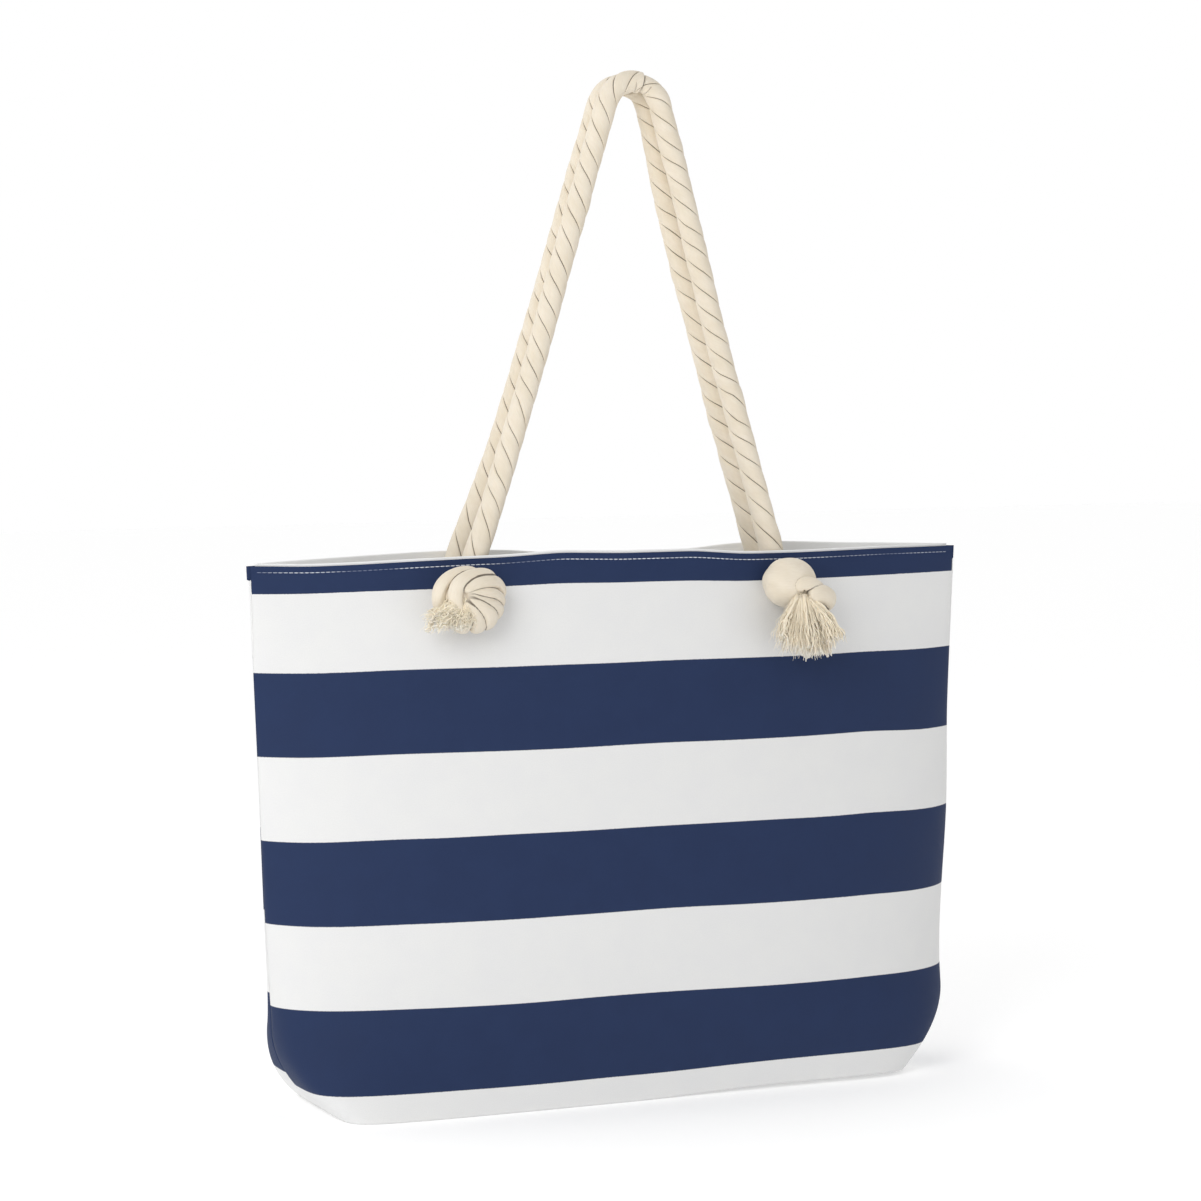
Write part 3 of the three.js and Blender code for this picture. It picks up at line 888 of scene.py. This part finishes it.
BALL = [
    ([(-6.5, -3, 11), (-6, 1, 13.5), (0, 2, 14.5), (6, 0.5, 13), (12, -2.5, 9), (17.5, -5, 2),
      (19, -8, -6)], 4.9),
    ([(0, -6, 12), (5, -5.4, 13.8), (11, -5.8, 13.6), (17, -8, 10.5), (22, -11.5, 5), (23, -15.5, -3)], 6.9),
    ([(1, -10, 11), (7, -12.5, 10.2), (13, -15.5, 7.5), (17.5, -18.5, 2), (18.5, -20, -4)], 4.3),
]
# Middle and radii of the round lump inside, and of the outline that the lobes are pressed towards.
CORES = {"rosette": ((-3, 0.5, -3.5), (18, 15.5, 16.3)), "ball": ((-5.0, 4.2, -3), (19.6, 17.8, 17.2))}
OUTLINES = {"rosette": ((0, -1, -3), (26.5, 22.5, 19.5)), "ball": ((3, -1, -3), (27, 22, 21))}
# How much of what stands outside that outline is left.
PRESSED = 0.55
# Painted shade in the grooves between lobes and on the lump, which fades where the lobes crowd together.
LOBE_SHADE_REACH, CORE_SHADE_REACH, CORE_GROOVE_SHADE = 0.00045, 0.0004, 0.4
CREASES_MEET = {"rosette": (-3.5, 1, 13), "ball": (6, -2, 14)}
MEETING_FADES, MEETING_REACH = 0.75, 0.0055
# A lobe is rounded over these shares of its length, and thinner from LOBE_THINS_FROM on.
LOBE_START, LOBE_END, LOBE_THINS_FROM = 0.18, 0.09, 0.6
LOBE_STEP, LOBE_SIDES = 0.7, 36
CORE_RINGS, CORE_SIDES = 60, 72


def local_to_world(axes, points):
    """Points in millimetres along an eyelet's or a knot's axes, as metres in the world."""
    centre, across, up, out = axes
    p = np.asarray(points, float) / 1000
    return centre + p[:, :1] * across + p[:, 1:2] * up + p[:, 2:] * out


def core_tube(axes, middle, radii):
    """The tightly wound lump inside the knot, faintly ridged where its strand turns round it."""
    steps = np.sin(np.linspace(-1, 1, CORE_RINGS) * math.pi / 2)
    line = np.array(middle) + np.stack([steps * radii[0] * 0.999, 0 * steps, 0 * steps], axis=1)
    v, f, _ = tube(line, np.sqrt(1.0004 - steps ** 2), CORE_SIDES)
    v = (v - middle) * [1, radii[1], radii[2]]
    turn = np.arctan2(v[:, 1], v[:, 2]) + v[:, 0] * 0.09
    ridge = 0.35 * np.abs(np.sin(turn * 1.5)) ** 0.6 + 0.25 * np.sin(v[:, 0] * 0.35 + v[:, 1] * 0.28)
    v = v * (1 + ridge[:, None] / 18) + middle
    return local_to_world(axes, v), f, np.column_stack([v[:, 1], v[:, 0]]) / 1000


def pressed_in(points, outline):
    """Pull whatever stands outside the knot's rounded outline most of the way back to it."""
    middle, radii = np.array(outline[0]), np.array(outline[1])
    out = (points - middle) / radii
    size = norm(out, axis=1)[:, None]
    return middle + out * radii * np.where(size > 1, (1 + (size - 1) * PRESSED) / size, 1)


def lobe_tube(axes, line, radius, outline, wobble):
    """A lobe's (vertices, faces, uv), its centreline and its radii."""
    points, along = resample(spline(line), LOBE_STEP)
    share = along / along[-1]
    from_ends = np.clip(np.minimum(share / LOBE_START, (1 - share) / LOBE_END), 0, 1)
    rounding = np.sqrt(1 - (1 - from_ends) ** 2)
    radii = radius * (0.15 + 0.85 * rounding) * (1 + 0.04 * np.sin(share * 9 + wobble))
    radii *= 1 - 0.25 * smooth(share, LOBE_THINS_FROM, 1.0)
    v, f, uv = tube(points, radii, LOBE_SIDES)
    shape = (local_to_world(axes, pressed_in(v, outline)), f, uv / 1000)
    return shape, local_to_world(axes, points), radii / 1000


def gap_to_core(points, axes, middle, radii):
    """Roughly how far points are outside the core, in metres."""
    out = (points - local_to_world(axes, [middle])) @ np.stack(axes[1:], axis=1) * 1000 / radii
    return (norm(out, axis=1) - 1) * min(radii) / 1000


def gap_to_lobes(points, lobes):
    """How far points are outside the nearest of the lobes, in metres."""
    gaps = [(norm(points[:, None] - line[None], axis=2) - radii[None]).min(axis=1)
            for _, line, radii in lobes]
    return np.min(gaps, axis=0)


def make_knot(name, axes, style, node):
    spec = ROSETTE if style == "rosette" else BALL
    lobes = [lobe_tube(axes, line, radius, OUTLINES[style], k) for k, (line, radius) in enumerate(spec)]
    meeting = local_to_world(axes, [CREASES_MEET[style]])
    # The groove numbers paint shade: darker where a lobe comes close to the lump or to another lobe.
    grooves = []
    for k, (shape, _, _) in enumerate(lobes):
        points = shape[0]
        others = lobes[:k] + lobes[k + 1:]
        gap = np.minimum(gap_to_core(points, axes, *CORES[style]), gap_to_lobes(points, others))
        from_meeting = norm(points - meeting, axis=1)
        shade = 1 - MEETING_FADES * np.exp(-(from_meeting / MEETING_REACH) ** 2)
        grooves.append(shade * np.exp(-(np.clip(gap, 0, None) / LOBE_SHADE_REACH) ** 2))
    core = core_tube(axes, *CORES[style])
    gap = gap_to_lobes(core[0], lobes)
    grooves.append(CORE_GROOVE_SHADE * np.exp(-(np.clip(gap, 0, None) / CORE_SHADE_REACH) ** 2))
    knot = joined(name, [shape for shape, _, _ in lobes] + [core], ROPE_COTTON, np.concatenate(grooves))
    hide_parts(node)
    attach(knot, "bag")
    return knot


# Fringes: a tuft's yarns, and finer hairs among them.
YARN_POINTS = 18
ROOT_DEPTH = 2.6
YARN_STRAYS, HAIR_STRAYS = 1.7, 3.4
YARN_SIDES, HAIR_SIDES = 6, 4
HAIR_WIDTH = (0.13, 0.2)


def yarn_line(r, start, end, bow, crimp):
    """A loose yarn: an arc from start to end with an irregular crimp that grows towards its tip."""
    t = np.linspace(0, 1, YARN_POINTS)[:, None]
    middle = start + (end - start) * 0.45 + bow
    line = (1 - t) ** 2 * start + 2 * (1 - t) * t * middle + t ** 2 * end
    for _ in range(2):
        wave = np.sin(t * r.uniform(8, 26) + r.uniform(*ANY_PHASE)) * t ** 0.8
        line = line + crimp * r.uniform(0.3, 1.0) * wave * r.normal(0, 1, 3) * [1, 0.5, 0.8]
    return line


def make_fringe(name, axes, spec, seed, node):
    """Loose yarns in tufts, fanning out from one root, and finer hairs among them."""
    r = np.random.default_rng(seed)
    root, tip, spread = (np.array(spec[key], float) for key in ("root", "tip", "spread"))
    yarns, tips = [], []
    for _ in range(spec["tufts"]):
        fan = r.uniform(-1, 1)
        ahead = r.uniform(-1, 1)
        droop = 1 - spec["round"] * fan ** 2 + r.normal(0, 0.05)
        tuft_start = root + [fan * spec["root_width"], r.normal(0, spec["root_rise"]), ahead * ROOT_DEPTH]
        tuft_end = root + (tip - root) * droop + np.array([fan, 0, ahead]) * spread
        tuft_end[1] += spec["ragged"] * r.uniform(-0.3, 1)
        kinds = [(YARN_STRAYS, YARN_SIDES, spec["width"])] * spec["yarns"]
        kinds += [(HAIR_STRAYS, HAIR_SIDES, HAIR_WIDTH)] * spec["hairs"]
        for strays, sides, widths in kinds:
            start = tuft_start + r.normal(0, 0.7, 3)
            end = tuft_end + r.normal(0, strays, 3) * [1, 0.6, 0.8]
            bow = np.array([fan * spread[0] * 0.3, 0, 2.0 + 2 * ahead]) + r.normal(0, strays * 0.5, 3)
            line = yarn_line(r, start, end, bow, spec["crimp"])
            tip_share = np.linspace(0, 1, len(line)) ** 3
            v, f, uv = tube(line, r.uniform(*widths) * (1 - 0.3 * tip_share), sides)
            yarns.append((local_to_world(axes, v), f, uv / 1000))
            tips.append(np.repeat(tip_share, sides))
    fringe = joined(name, yarns, FRINGE_COTTONS[spec["cotton"]])
    set_number(fringe, "tip", np.concatenate(tips))
    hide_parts(node)
    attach(fringe, "bag")
    return fringe


def turned(axes, degrees):
    """The same axes turned about the outward one."""
    centre, across, up, out = axes
    a = math.radians(degrees)
    return centre, math.cos(a) * across + math.sin(a) * up, math.cos(a) * up - math.sin(a) * across, out


KNOTS = {
    ("front", "left"): dict(shift=(-6.0, -2.3), style="rosette", turn=0),
    ("front", "right"): dict(shift=(-4.8, -3.0), style="ball", turn=0),
    ("rear", "left"): dict(shift=(3.0, -5.0), style="ball", turn=14),
    ("rear", "right"): dict(shift=(-3.0, -5.0), style="rosette", turn=-16),
}
KNOT_OUT = 19.5
FRINGES = {
    "rosette": dict(cotton="fluffed", root=(-11.5, -4.5, 9.9), tip=(-16.0, -19.0, 5.0), spread=(13, 10, 7),
                    root_width=8, root_rise=2.4, ragged=9, tufts=60, yarns=9, hairs=8, crimp=2.5,
                    round=-0.05, width=(0.28, 0.55)),
    "ball": dict(cotton="combed", root=(-4, -7.5, 12.5), tip=(5.6, -47.0, 3), spread=(26, 8, 8), root_width=5,
                 root_rise=1.0, ragged=0, tufts=52, yarns=9, hairs=10, crimp=1.1, round=0.30,
                 width=(0.38, 0.75)),
}


def make_knot_and_fringe(half, end_name):
    spec = KNOTS[half, end_name]
    place = f"{half}_{end_name}"
    centre, across, up, out = eyelet_axes(SIDES[half], ENDS[end_name])
    middle = centre + (spec["shift"][0] * across + spec["shift"][1] * up + KNOT_OUT * out) / 1000
    axes = turned((middle, across, up, out), spec["turn"])
    knot = make_knot(f"{place}_knot", axes, spec["style"], f"knot_{place}")
    seed = SEEDS[half] * 10 + (1 if end_name == "left" else 2)
    fringe = make_fringe(f"{place}_fringe", axes, FRINGES[spec["style"]], seed, f"tassel_{place}")
    return [knot, fringe]


# ---------- eyelets ----------
TURNED_SIDES = 72


def lathe(name, profile, axes, material):
    """A closed profile turned about the eyelet's axis."""
    angle = np.linspace(0, 2 * math.pi, TURNED_SIDES, endpoint=False)
    ring = np.stack([np.cos(angle), np.sin(angle)], axis=1)
    rows = [np.column_stack([radius * ring, np.full(TURNED_SIDES, height)]) for radius, height in profile]
    faces = [tuple(reversed(face)) for face in grid_faces(len(profile), TURNED_SIDES, wrap=True, close=True)]
    return new_object(name, local_to_world(axes, np.concatenate(rows)), faces, material)


# Profiles as radius and height out of the cloth, in millimetres.
FLANGE = [(8.7, 1.1), (9.3, 1.6), (10.4, 1.9), (11.6, 1.85), (13.2, 1.5), (14.6, 1.05), (15.3, 0.7),
          (15.5, 0.35), (15.3, 0.1), (9.7, 0.1), (9.7, -4.8), (12.0, -4.8), (12.3, -5.2), (12.0, -5.8),
          (10.4, -6.0), (9.2, -5.8), (8.7, -5.2)]
WASHER = [(14.6, -3.5), (15.0, -3.8), (15.0, -4.2), (14.6, -4.5), (10.1, -4.5), (10.1, -3.5)]


def make_eyelet(half, end_name):
    """The flange, outside and through the cloth, and the washer inside."""
    place = f"{half}_{end_name}"
    axes = eyelet_axes(SIDES[half], ENDS[end_name])
    for name, profile, node in ((f"{place}_flange", FLANGE, f"eyelet_{place}"),
                                (f"{place}_washer", WASHER, f"eyelet_washer_{place}")):
        ring = lathe(name, profile, axes, NICKEL)
        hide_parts(node)
        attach(ring, "bag")


# ---------- topstitching ----------
STITCH_LENGTH, STITCH_PITCH = 0.0030, 0.0036
SEAM_MARGIN = 0.006
# A stitch stands out in its middle; at its ends it is thinner, and sunk in the cloth.
STITCH_RISE, STITCH_SINKS = 0.00040, 0.00018
THREAD_RADIUS, THREAD_SWELLS = 0.00022, 0.00012
STITCH_POINTS, STITCH_SIDES = 9, 8
ROW_POINTS = 1200


def make_topstitch(half):
    """A row of lockstitches below the rim, each a short thread that dips in at its ends."""
    row, along = cloth_row(HEIGHT - TOPSTITCH_DROP, half, 0, ROW_POINTS)
    tangent = np.gradient(row, axis=0)
    outward = np.stack([tangent[:, 1], -tangent[:, 0], np.zeros(len(row))], axis=1)
    outward /= norm(outward, axis=1)[:, None]
    from_middle = row - np.array([0, 0, HEIGHT - TOPSTITCH_DROP])
    outward *= np.sign(np.einsum("ij,ij->i", outward, from_middle))[:, None]
    arc = np.sin(np.linspace(0, math.pi, STITCH_POINTS))
    rise = (STITCH_RISE * arc - STITCH_SINKS)[:, None]
    stitches = []
    start = along[0] + SEAM_MARGIN
    while start + STITCH_LENGTH < along[-1] - SEAM_MARGIN:
        at = np.linspace(start, start + STITCH_LENGTH, STITCH_POINTS)
        line = points_at(at, along, row) + points_at(at, along, outward) * rise
        stitches.append(tube(line, THREAD_RADIUS + THREAD_SWELLS * arc, STITCH_SIDES))
        start += STITCH_PITCH
    stitching = joined(f"{half}_topstitch", stitches, THREAD)
    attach(stitching, "bag")
    return stitching


# ---------- cloth pieces ----------
CANVAS_GRID = dict(columns=250, rows=176, base_rows=18)
LINING_GRID = dict(columns=150, rows=110, base_rows=14)


def make_cloth(half):
    """Half of the canvas with its topstitching, and half of the lining."""
    canvas = cloth_half(f"{half}_canvas", half, 0, CANVAS, CANVASES[half], **CANVAS_GRID)
    inner = cloth_half(f"{half}_lining_cloth", half, CANVAS + CLOTH_GAP, LINING, LINING_CLOTH,
                       **LINING_GRID)
    stitching = make_topstitch(half)
    for piece, node, slot in ((canvas, "panel", "canvas"), (inner, "lining", "lining")):
        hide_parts(f"{half}_{node}")
        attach(piece, "bag")


# ---------- stage ----------
KEY_POWER, KEY_SIZE = 19.5, 1.3
KEY_PLACE, KEY_AIM = (-1.6, -1.5, 1.35), (0, 0, 0.3)
FLOOR_HALF, FLOOR_GLOW = 6, 0.26
# The surroundings' brightness: in front of the bag, and far round to its right.
FRONT_LIGHT, RIGHT_LIGHT = 0.62, 0.68


def make_surroundings():
    """A white wall behind, paler grey in front and at the right."""
    world = bpy.data.worlds.new("studio")
    bpy.context.scene.world = world
    world.use_nodes = True
    n = Nodes(world.node_tree)
    background = n.tree.nodes["Background"]
    background.inputs[0].default_value = (1, 1, 1, 1)
    direction = n.split(n.place("Generated"))
    behind = n.ramp(direction[1], -0.35, 0.35, FRONT_LIGHT, 1.0)
    left = n.ramp(direction[0], 0.60, 1.0, 1.0, RIGHT_LIGHT)
    n.link(n.math("MULTIPLY", behind, left), background.inputs[1])


def make_floor():
    """A pale floor that glows a little, so that it is as white as the wall."""
    pale = Material("pale_floor")
    pale.set(Base_Color=(0.9, 0.9, 0.9, 1), Roughness=0.9)
    pale.set(Emission_Color=(1, 1, 1, 1), Emission_Strength=FLOOR_GLOW)
    corners = [(x * FLOOR_HALF, y * FLOOR_HALF, 0) for x, y in ((-1, -1), (1, -1), (1, 1), (-1, 1))]
    new_object("floor", corners, [(0, 1, 2, 3)], pale.material)


def make_key_light():
    """One large soft light from the upper left."""
    light = bpy.data.lights.new("key", "AREA")
    light.size, light.energy = KEY_SIZE, KEY_POWER
    lamp = bpy.data.objects.new("key", light)
    bpy.context.scene.collection.objects.link(lamp)
    lamp.location = KEY_PLACE
    lamp.rotation_euler = (Vector(KEY_AIM) - lamp.location).to_track_quat("-Z", "Y").to_euler()


make_camera()
for half in SIDES:
    pieces = [piece for end_name in ENDS for piece in make_knot_and_fringe(half, end_name)]
    make_rope(half)
for half in SIDES:
    make_cloth(half)
    for end_name in ENDS:
        make_eyelet(half, end_name)
make_surroundings()
make_floor()
make_key_light()
bpy.context.scene.view_settings.view_transform = "Standard"
